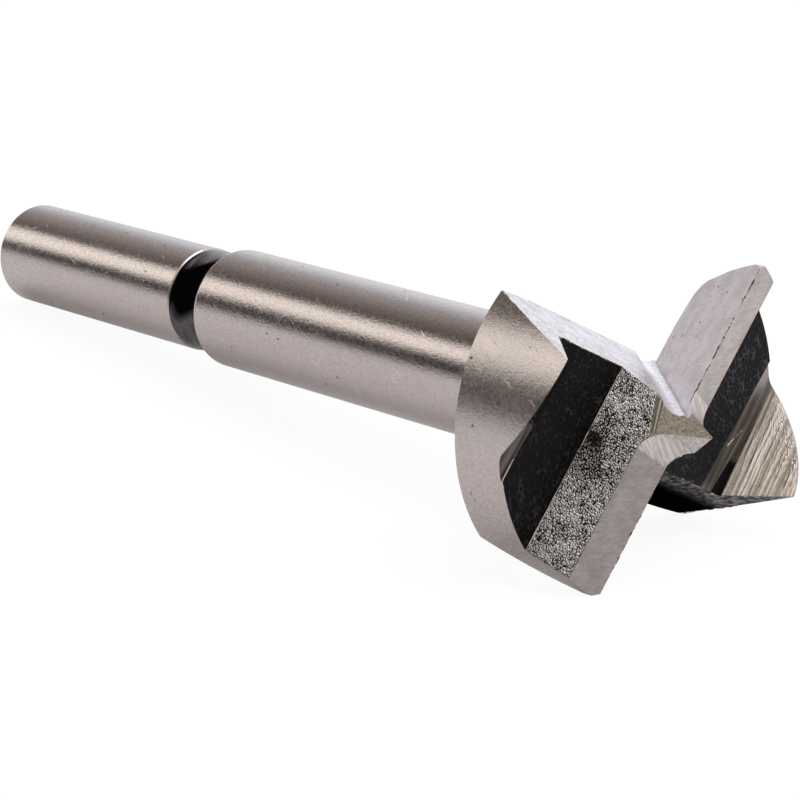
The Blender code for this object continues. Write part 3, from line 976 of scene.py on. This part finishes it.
def strip_tones(side, x, y):
    """How black and how pale the strip is at each point; black includes painted shadow and shade."""
    line = WEDGE_LINE[side] - 0.10 * (x + 0.6)
    foot = spur_foot_y(x)
    black = ramp(y, line, line - 0.06) * ramp(y, foot - 0.45, foot - 0.37)
    black *= ramp(x, WEDGE_END[side], WEDGE_END[side] - 0.3)
    # Painted shadow beyond the wedge; on wing A painted shade dims the whole strip by at least 0.35.
    shadow = 0.35 * ramp(y, line, line - 0.1) * ramp(x, 2.4, 3.0) * (x < 7.5)
    if side == "a":
        black = np.maximum(black, ramp(x, 5.6, 4.8))
        return np.maximum(black, shadow + 0.35), np.zeros_like(x)
    return np.maximum(black, shadow), ramp(x, 6.2, 7.8) * ramp(y, line - 0.2, line)


def ground_strip(side):
    """Sheet from the floor's end to the bevel, y between two slanting lines, x out to the rim."""
    u, v = unit_grid(60, 160)
    end_shift = SPUR_FOOT_RADIUS * (math.tan(CHANNEL_TILT / 2) - math.sin(CHANNEL_TILT))
    x = u * 9.0
    for _ in range(4):
        start = strip_y(x)
        end = spur_foot_y(x) + end_shift
        y = start + (end - start) * v
        x = across_wing(y, u)
    black, pale = strip_tones(side, x, y)
    # Painted highlight: a thin pale line just inside the start of the strip.
    painted_highlight_line = 0.5 * np.clip(1 - np.abs(v * (start - end) - 0.05) / 0.06, 0, 1)
    pale = np.maximum(pale, painted_highlight_line)
    points = np.stack([x, y, strip_height(x, y) + LIFT], axis=-1)
    return skin("ground_strip", points, UP, strip_metal, side, black=black, pale=pale)


for side in WINGS:
    ground_strip(side)

# %% [markdown]
# ## The streaked bevel inside each spur
#
# The scoring edge is sharpened from inside with a coarse stone that runs along the bevel. Each stroke
# leaves a groove, so the bevel is a sheet whose height changes across the strokes but hardly along
# them: the noise is looked up by the distance from the foot line. The heat of grinding left a golden
# tint close to the thin edge. Painted shade darkens each bevel near its foot, and all of wing A's.

# %% Spur bevel finish
def streaked_finish():
    dark = (0.47, 0.405, 0.345)
    light = (1.0, 0.94, 0.88)
    golden = (0.62, 0.38, 0.16)
    finish = Finish("streaked_bevel")
    streak = finish.attribute("streak")
    heat = finish.attribute("heat")
    shade = finish.attribute("shade")
    grain = finish.noise(4.0, 4.0, 4.0, detail=3.0, roughness=0.65)
    tone = (streak * 0.24 + 0.58 + (grain - 0.5) * 0.8 - shade).above(0.0, 1.0)
    finish.set("Base Color", finish.mix(heat, finish.mix(tone, dark, light), golden))
    finish.set("Roughness", tone * -0.08 + 0.38)
    finish.set("Normal", finish.bump(grain, 0.012))
    return finish.material


streaked = streaked_finish()
print("finish of the bevels:", streaked.name)

# %% [markdown]
# The bevel's sheet is bounded by its foot line and by the head's cylinder, which it meets in a curve.
# Where that curve lies depends on x, and x on the curve, so the rows are found by repeating a few times.

# %% Spur bevel sheets
BEVEL_ROWS = 130
BEVEL_COLUMNS = 150
STREAK_STEP = 0.02
STREAK_SAMPLES = 512
STREAK_DEPTH = 0.008
STREAK_SEED = {"a": 31, "b": 32}
# Painted shade: wing A's bevel is darker all over.
BEVEL_SHADE = {"a": 0.35, "b": 0.0}
BEVEL_FOOT = FLOOR_HEIGHT - STRIP_DIP
BEVEL_OUT = np.array([-math.sin(SPUR_SKEW) * math.sin(CHANNEL_TILT),
                      math.cos(SPUR_SKEW) * math.sin(CHANNEL_TILT), math.cos(CHANNEL_TILT)])


def bevel_z(x, y):
    """Height of the bevel's plane: z = foot + (foot line - y) tan 60."""
    return BEVEL_FOOT + (spur_foot_y(x) - y) * math.tan(CHANNEL_TILT)


def bevel_grid(u, v):
    """x from the lee face outwards and y from the foot line to the rim, y = -sqrt(R^2 - x^2)."""
    start_drop = SPUR_FOOT_RADIUS * (math.sin(CHANNEL_TILT) - math.tan(CHANNEL_TILT / 2)) + 0.01
    x = u * 7.0
    for _ in range(8):
        start_y = spur_foot_y(x) - start_drop
        outer_y = -np.sqrt(np.maximum(HEAD_RADIUS ** 2 - x ** 2, 0.0)) + 0.06
        y = start_y + (outer_y - start_y) * v
        x_in = lee_x(y, bevel_z(x, y)) + GAP
        x = x_in + (HEAD_RADIUS * 0.70 - x_in) * u
    return x, np.where(outer_y < start_y, y, outer_y), outer_y


def streaks(climb, slow, seed):
    """Fine and broad strokes, looked up by the distance climbed from the foot line, with a slow drift."""
    fine = banded_noise((STREAK_SAMPLES, 8), STREAK_STEP, 0.20, seed, width=0.9)[:, 0]
    broad = banded_noise((STREAK_SAMPLES, 8), STREAK_STEP, 0.75, seed + 4, width=0.9)[:, 0]
    lookup = np.clip((climb + 0.03 * slow) / STREAK_STEP, 0, STREAK_SAMPLES - 2)
    along = np.interp(lookup.ravel(), np.arange(STREAK_SAMPLES), fine + 0.8 * broad)
    return along.reshape(climb.shape) + 0.35 * slow


def spur_bevel(side):
    """Sheet over the bevel's plane, raised by the streaks, with heat near the edge and painted shade at the
    foot.
    """
    seed = STREAK_SEED[side]
    u, v = unit_grid(BEVEL_ROWS, BEVEL_COLUMNS)
    x, y, outer_y = bevel_grid(u, v)
    climb = (spur_foot_y(x) - y) * 2
    slow = banded_noise((BEVEL_ROWS, BEVEL_COLUMNS), 0.06, 0.5, seed + 2, stretch=10.0, width=0.8)
    streak = streaks(climb, slow, seed)
    near_edge = ramp(y, outer_y + 0.9, outer_y)
    heat = 0.55 * near_edge ** 2 * np.clip(1.3 - u * 1.1, 0, 1) + 0.12 * np.clip(near_edge * 2, 0, 1)
    # Painted shade: darker near the foot of the bevel, and on wing A everywhere.
    shade = BEVEL_SHADE[side] + 0.55 * ramp(climb, 1.0, 0.0) * ramp(x, 0.8, 3.8)
    fade = np.clip(np.minimum(v, 1 - v) * 20, 0, 1)
    points = np.stack([x, y, bevel_z(x, y)], axis=-1)
    points += BEVEL_OUT * (LIFT + STREAK_DEPTH * streak * fade)[..., None]
    return skin("spur_bevel", points, BEVEL_OUT, streaked, side, streak=streak, heat=heat, shade=shade)


for side in WINGS:
    spur_bevel(side)

# %% [markdown]
# ## The blackened neck
#
# Between the chuck shank and the thicker shank runs a narrow stretch that the wheels don't reach. It
# is a profile carried round the axis: radius against height, a little uneven, with a coppery line
# where the black skin thins at its rear end. Where it looks up at the lamp or down at the table, a
# field paints a grey tint that also reflects, a painted highlight; elsewhere it is a black that
# reflects nothing, painted shade.

# %% Neck sleeve
def blackened_neck():
    """Sleeve: radius = neck + lift + small waves, at height z, turned once round the axis."""
    rows, columns = 60, 192
    height = np.linspace(CHUCK_LENGTH, CHUCK_LENGTH + NECK_LENGTH + 0.1, rows)[:, None]
    angle = np.linspace(0, 2 * math.pi, columns, endpoint=False)[None, :]
    waves = 0.012 * np.sin(3 * angle + 1.7 * height) + 0.008 * np.sin(7 * angle - 2.3 * height)
    from_end = np.minimum(height - height[0], height[-1] - height)
    radius = NECK_RADIUS + LIFT + waves * ramp(from_end, 0, 0.4)
    copper = ramp(height, height[0] + 0.12, height[0]) * (0.35 + 0.65 * np.sin(2.5 * angle + 2.0) ** 2)
    points = np.stack([radius * np.cos(angle), radius * np.sin(angle), height * np.ones_like(angle)], axis=-1)
    outward = np.stack([np.cos(angle), np.sin(angle), np.zeros_like(angle)], axis=-1) @ BIT_AXES
    # Painted highlight and shade: set from how far each point faces up or down in the room.
    up = outward[..., 2] + 0.10 * np.sin(5 * angle + 2.0 * height)
    sheen = ramp(up, 0.80, 0.92) + 0.75 * ramp(up, 0.05, -0.20)
    faces = grid_faces(rows, columns, closed=True)
    return new_piece("blackened_neck", points.reshape(-1, 3), faces, neck_black, edge=copper, sheen=sheen)


blackened_neck()

# %% [markdown]
# ## Burrs and bright lines along the edges
#
# Grinding pushes a thin, brittle rim of metal over each edge. It tears off in places and holds dark
# dust. A burr is a thin tube carried along the edge, whose radius is a noise cut off at nothing, so
# that the tube comes and goes. A painted highlight, where light catches a sharp edge, is the same
# tube, even and thin.

# %% Edge finishes
def edge_finish(name, dark, light, metallic, roughness):
    finish = Finish(name, roughness=roughness, metallic=metallic)
    patch = finish.noise(2.2, 2.2, 2.2).above(0.40, 0.62)
    finish.set("Base Color", finish.mix(patch, dark, light))
    return finish.material


burr_dark = edge_finish("burr_dark", (0.020, 0.013, 0.010), (0.20, 0.125, 0.080), 0.3, 0.5)
burr_rust = edge_finish("burr_rust", (0.10, 0.045, 0.020), (0.55, 0.38, 0.26), 0.6, 0.5)
# Painted highlight, for an edge that catches the light.
painted_edge_highlight = edge_finish("painted_edge_highlight", (0.60, 0.58, 0.55), (0.95, 0.93, 0.90), 1.0, 0.30)
gold_scratch = edge_finish("gold_scratch", (0.62, 0.42, 0.22), (0.95, 0.80, 0.55), 1.0, 0.35)
print("edge finishes:", burr_dark.name, burr_rust.name, painted_edge_highlight.name, gold_scratch.name)

# %% [markdown]
# The tube itself is eight points round a line. Two noises, a long one and a short one, swell and pinch
# it, and a third one lets it wander sideways.

# %% A tube along an edge
TUBE_STEP = 0.06
TUBE_SIDES = 8


def line_noise(rows, wave, seed, width):
    """One column of banded noise, for what changes along an edge."""
    return banded_noise((rows, TUBE_SIDES), TUBE_STEP, wave, seed, width=width)[:, :1]


def edge_tube(name, start, end, side, material, size, seed, cut=0.0, wave=0.5, uneven=0.5):
    """Tube along a line: radius = size * (0.55 + uneven * noise - cut), pinched to a point at its ends."""
    length = np.linalg.norm(np.subtract(end, start))
    direction = np.subtract(end, start) / length
    rows = int(length / TUBE_STEP)
    along = np.linspace(0, 1, rows)[:, None]
    side_a = np.cross(direction, UP)
    side_a /= np.linalg.norm(side_a)
    side_b = np.cross(direction, side_a)
    lumps = 0.6 * (line_noise(rows, wave, seed, 1.2) + line_noise(rows, 3.5 * wave, seed + 5, 1.2))
    pinch = np.clip(np.minimum(along, 1 - along) * 30, 0.02, 1)
    radius = size * np.clip(0.55 + uneven * lumps - cut, 0.02, 1.6) * pinch
    wander = 0.02 * uneven * line_noise(rows, 1.2, seed + 50, 0.8)
    angle = np.linspace(0, 2 * math.pi, TUBE_SIDES, endpoint=False)[None, :]
    ring = np.cos(angle)[..., None] * side_a + np.sin(angle)[..., None] * side_b
    middle = np.array(start) + along[..., None] * (length * direction)
    points = middle + radius[..., None] * ring + wander[..., None] * side_a
    faces = grid_faces(rows, TUBE_SIDES, closed=True)
    return new_piece(name, half_turn(points, side), faces[:, ::-1], material)


print("a tube of 10 mm has", int(10 / TUBE_STEP), "rings of", TUBE_SIDES, "points")

# %% [markdown]
# Four lines run along each wing: the burr of the lip, a rusty one where the channel's floor opens into
# the throat, a painted highlight at the foot of the slope, and a rusty one down the back edge of the spur.
# Wing B's strip also has one stray scratch, which shines like gold.

# %% Burrs, bright lines and a scratch
LIP_START = (1.5, LIP_AHEAD, LIP_HEIGHT)
LIP_END = (HEAD_RADIUS - 0.35, LIP_AHEAD, LIP_HEIGHT)
LIP_BURR = {"a": {"size": 0.030, "seed": 41, "cut": 0.45}, "b": {"size": 0.036, "seed": 45, "cut": -0.15}}
FLOOR_BURR_SEED = {"a": 51, "b": 55}
LIGHT_SEED = {"a": 61, "b": 65}
RIM_SEED = {"a": 71, "b": 75}
BURR_HEIGHT = FLOOR_HEIGHT + 0.05
BURR_ENDS = [(float(lee_x(y, BURR_HEIGHT)) + 0.02, y, BURR_HEIGHT) for y in (-8.1, SLOPE_FOOT)]
LIGHT_ENDS = [(x, SLOPE_FOOT - 0.05, FLOOR_HEIGHT + 0.09) for x in (-1.75, 11.85)]
RIM_ENDS = [(-1.99, -12.37, 66.40), (-0.22, -12.535, 70.65)]
SCRATCH_ENDS = [(2.46, -8.66, FLOOR_HEIGHT - 0.05), (4.16, -9.44, FLOOR_HEIGHT - 0.16)]

for side in WINGS:
    lip_burr = edge_tube(f"lip_burr_{side}", LIP_START, LIP_END, side, burr_dark, wave=0.35, uneven=0.7,
                         **LIP_BURR[side])
    floor_burr = edge_tube(f"floor_burr_{side}", *BURR_ENDS, side, burr_rust, 0.035, FLOOR_BURR_SEED[side],
                           cut=0.1, wave=0.4, uneven=0.6)
    # Painted highlight along the concave foot of the slope.
    light_line = edge_tube(f"slope_painted_highlight_{side}", *LIGHT_ENDS, side, painted_edge_highlight, 0.07, LIGHT_SEED[side],
                           wave=2.0, uneven=0.2)
    rim_edge = edge_tube(f"rim_edge_{side}", *RIM_ENDS, side, burr_rust, 0.030, RIM_SEED[side], wave=0.4)
stray = edge_tube("stray_scratch", *SCRATCH_ENDS, "b", gold_scratch, 0.045, 81, wave=0.8, uneven=0.4)

# %% [markdown]
# ## The step beside the point
#
# Where the grainy slope ends below the point, the wheel that ground the point's inner face left a dark
# narrow step with one fine bright line in it. It is a small four-sided sheet on the slope's plane.

# %% Step finish
def step_finish():
    finish = Finish("dark_step", roughness=0.42)
    across = finish.attribute("across")
    grain = finish.noise(7.0, 7.0, 7.0)
    line = across.above(0.50, 0.60) * across.above(0.80, 0.68)
    colour = finish.mix(grain, (0.11, 0.095, 0.08), (0.24, 0.215, 0.185))
    finish.set("Base Color", finish.mix(line * 0.8, colour, (0.66, 0.62, 0.56)))
    finish.set("Normal", finish.bump(grain, 0.01))
    return finish.material


step_metal = step_finish()
print("finish of the steps:", step_metal.name)

# %% [markdown]
# The sheet lies between two lines that run a little apart, and it is trimmed by the lee face and by the
# land above it.

# %% Step sheets
def dark_step(side):
    """Sheet between the lines (-1.02, -2.30) + u (2.38, 0.40) and (-0.93, -2.00) + u (2.22, 0.26)."""
    u, v = unit_grid(12, 60)
    low = np.stack([-1.02 + 2.38 * u, -2.30 + 0.40 * u], axis=-1)
    high = np.stack([-0.93 + 2.22 * u, -2.00 + 0.26 * u], axis=-1)
    flat = low + (high - low) * v[..., None]
    y = flat[..., 1]
    x = np.maximum(flat[..., 0], lee_x(y, slope_z(y)) + GAP)
    y = np.minimum(y, slope_top_y(x) - 0.01)
    points = np.stack([x, y, slope_z(y)], axis=-1) + SLOPE_OUT * LIFT
    return skin("dark_step", points, SLOPE_OUT, step_metal, side, across=v)


for side in WINGS:
    dark_step(side)

# %% [markdown]
# ## The studio
#
# The bit lies on a white table in a dim room with a white backdrop. Ground metal shows its surroundings,
# so the studio matters as much as the finish. The table has to look white to the camera and keep the
# bit's shadow, so part of it is a plain white surface and part of it glows. In the metal it would then
# look too bright, so there it glows in a pool only: dim in front of the bit, brighter behind it, and
# fading out to the camera's left.

# %% Table
TABLE_SIZE = 6.0
TABLE_GLOW = 1.06
TABLE_CAMERA_SHARE = 0.88
POOL_EDGES = (((0.0, 1.0, 0.0), (0.0, 0.035), (0.17, 0.50)),
              ((-0.7, -0.7, 0.0), (0.045, 0.10), (1.0, 0.0)))


def white_table():
    """Glow share = camera ray * its share + glossy ray * pool, and the pool is the product of its edges."""
    material = bpy.data.materials.new("white_table")
    material.use_nodes = True
    wiring = Wiring(material.node_tree)
    wiring.tree.nodes.clear()
    plain = wiring.node("ShaderNodeBsdfDiffuse", {}, {"Color": (0.9, 0.9, 0.9, 1.0)}).out()
    light = {"Color": (1.0, 0.995, 1.0, 1.0), "Strength": TABLE_GLOW}
    glow = wiring.node("ShaderNodeEmission", {}, light).out()
    place = wiring.node("ShaderNodeTexCoord").out("Object")
    rays = wiring.node("ShaderNodeLightPath")
    pool = 1.0
    for direction, (start, end), (near, far) in POOL_EDGES:
        along = wiring.node("ShaderNodeVectorMath", {"operation": "DOT_PRODUCT"}, [place, direction])
        pool = along.out("Value").above(start, end, near, far) * pool
    share = rays.out("Is Glossy Ray") * pool + rays.out("Is Camera Ray") * TABLE_CAMERA_SHARE
    mixed = wiring.node("ShaderNodeMixShader", {}, [share, plain, glow]).out()
    wiring.node("ShaderNodeOutputMaterial", {}, [mixed])
    return material


half = TABLE_SIZE / 2
corners = [(-half, -half, 0), (half, -half, 0), (half, half, 0), (-half, half, 0)]
table_mesh = bpy.data.meshes.new("table")
table_mesh.from_pydata(corners, [], [(0, 1, 2, 3)])
table_mesh.materials.append(white_table())
table = bpy.data.objects.new("table", table_mesh)
bpy.context.scene.collection.objects.link(table)
print("the table is", TABLE_SIZE, "m wide")

# %% [markdown]
# Three soft lamps light the bit. Each one is placed where the metal mirrors it: the long one in the
# warm band along the shank and the rim, the front one in the bevels and the grainy slopes, and the top
# one in the faces that look up. Watts that follow the area keep a lamp's brightness the same at any size.

# %% Lamps
TARGET = Vector((0.0051, 0.0024, 0.0028))


def soft_lamp(name, towards, distance, size, glow, colour):
    """Rectangular lamp of one brightness: watts = glow * pi * area."""
    lamp = bpy.data.lights.new(name, "AREA")
    lamp.shape = "RECTANGLE"
    lamp.size, lamp.size_y = size
    lamp.energy = glow * math.pi * size[0] * size[1]
    lamp.color = colour
    holder = bpy.data.objects.new(name, lamp)
    direction = Vector(towards).normalized()
    holder.location = TARGET + direction * distance
    across = Vector((1.0, 0.0, 0.0))
    across = (across - direction * across.dot(direction)).normalized()
    holder.rotation_euler = Matrix((across, direction.cross(across), direction)).transposed().to_euler()
    bpy.context.scene.collection.objects.link(holder)
    print(name, round(lamp.energy, 2), "W")


soft_lamp("long_soft_lamp", (-0.76, -0.475, 0.445), 0.8, (0.90, 0.26), 1.42, (1.0, 0.97, 0.90))
soft_lamp("front_soft_lamp", (0.29, -0.585, 0.757), 0.9, (0.55, 0.55), 0.88, (1.0, 0.94, 0.87))
soft_lamp("top_soft_lamp", (0.18, 0.10, 1.0), 0.8, (0.55, 0.55), 3.0, (1.0, 0.98, 0.98))

# %% [markdown]
# The room is what the metal sees where no lamp stands. It is darkest in front of the bit and grows
# lighter towards the backdrop, with a faint light from the right. Dark walls are a little warm, bright
# ones a little cool. Where the table ends, the camera sees the room at full strength, close to white.

# %% Surroundings
WARM_DARK = (1.16, 1.0, 0.90)
COOL_BRIGHT = (0.96, 0.99, 1.03)


def studio_world():
    """Strength = the larger of (room + backdrop, both along y) and a side light along x."""
    world = bpy.data.worlds.new("studio")
    world.use_nodes = True
    wiring = Wiring(world.node_tree)
    background = wiring.tree.nodes["Background"]
    direction = wiring.node("ShaderNodeSeparateXYZ", {}, [wiring.node("ShaderNodeTexCoord").out("Generated")])
    room = direction.out("Y").above(-0.55, 1.0, 0.0, 0.80)
    backdrop = direction.out("Y").above(0.30, 0.72, 0.0, 0.38)
    side_light = direction.out("X").above(0.2, 0.9, 0.04, 0.20)
    strength = (room + backdrop).math("MAXIMUM", side_light)
    camera_ray = wiring.node("ShaderNodeLightPath").out("Is Camera Ray")
    wiring.join(strength.math("MAXIMUM", camera_ray), background.inputs["Strength"])
    wiring.join(wiring.mix(strength.above(0.1, 0.7), WARM_DARK, COOL_BRIGHT), background.inputs["Color"])
    return world


bpy.context.scene.world = studio_world()
bpy.context.scene.view_settings.view_transform = "Standard"
print("world:", bpy.context.scene.world.name)

# %% [markdown]
# ## The camera
#
# The picture was taken with a long lens from the front right, a little above the table, and held with
# a slight roll. The numbers come from matching the bit's straight edges and round rims.

# %% Camera
CAMERA_AZIMUTH = math.radians(48.7890)
CAMERA_ELEVATION = math.radians(18.0456)
CAMERA_ROLL = math.radians(2.8631)
CAMERA_DISTANCE = 0.230770
CAMERA_TARGET = Vector((0.0051142, 0.0024149, 0.0028343))
CAMERA_LENS = 141.2

towards_camera = Vector((math.sin(CAMERA_AZIMUTH) * math.cos(CAMERA_ELEVATION),
                         -math.cos(CAMERA_AZIMUTH) * math.cos(CAMERA_ELEVATION),
                         math.sin(CAMERA_ELEVATION)))
camera_data = bpy.data.cameras.new("camera")
camera_data.lens = CAMERA_LENS
camera_data.sensor_width = 36.0
camera_data.clip_start = 0.01
camera_data.clip_end = 20.0
camera = bpy.data.objects.new("camera", camera_data)
camera.location = CAMERA_TARGET + towards_camera * CAMERA_DISTANCE
aim = towards_camera.to_track_quat("Z", "Y") @ Quaternion((0.0, 0.0, 1.0), CAMERA_ROLL)
camera.rotation_euler = aim.to_euler()
bpy.context.scene.collection.objects.link(camera)
bpy.context.scene.camera = camera
print("camera at", [round(value, 4) for value in camera.location])
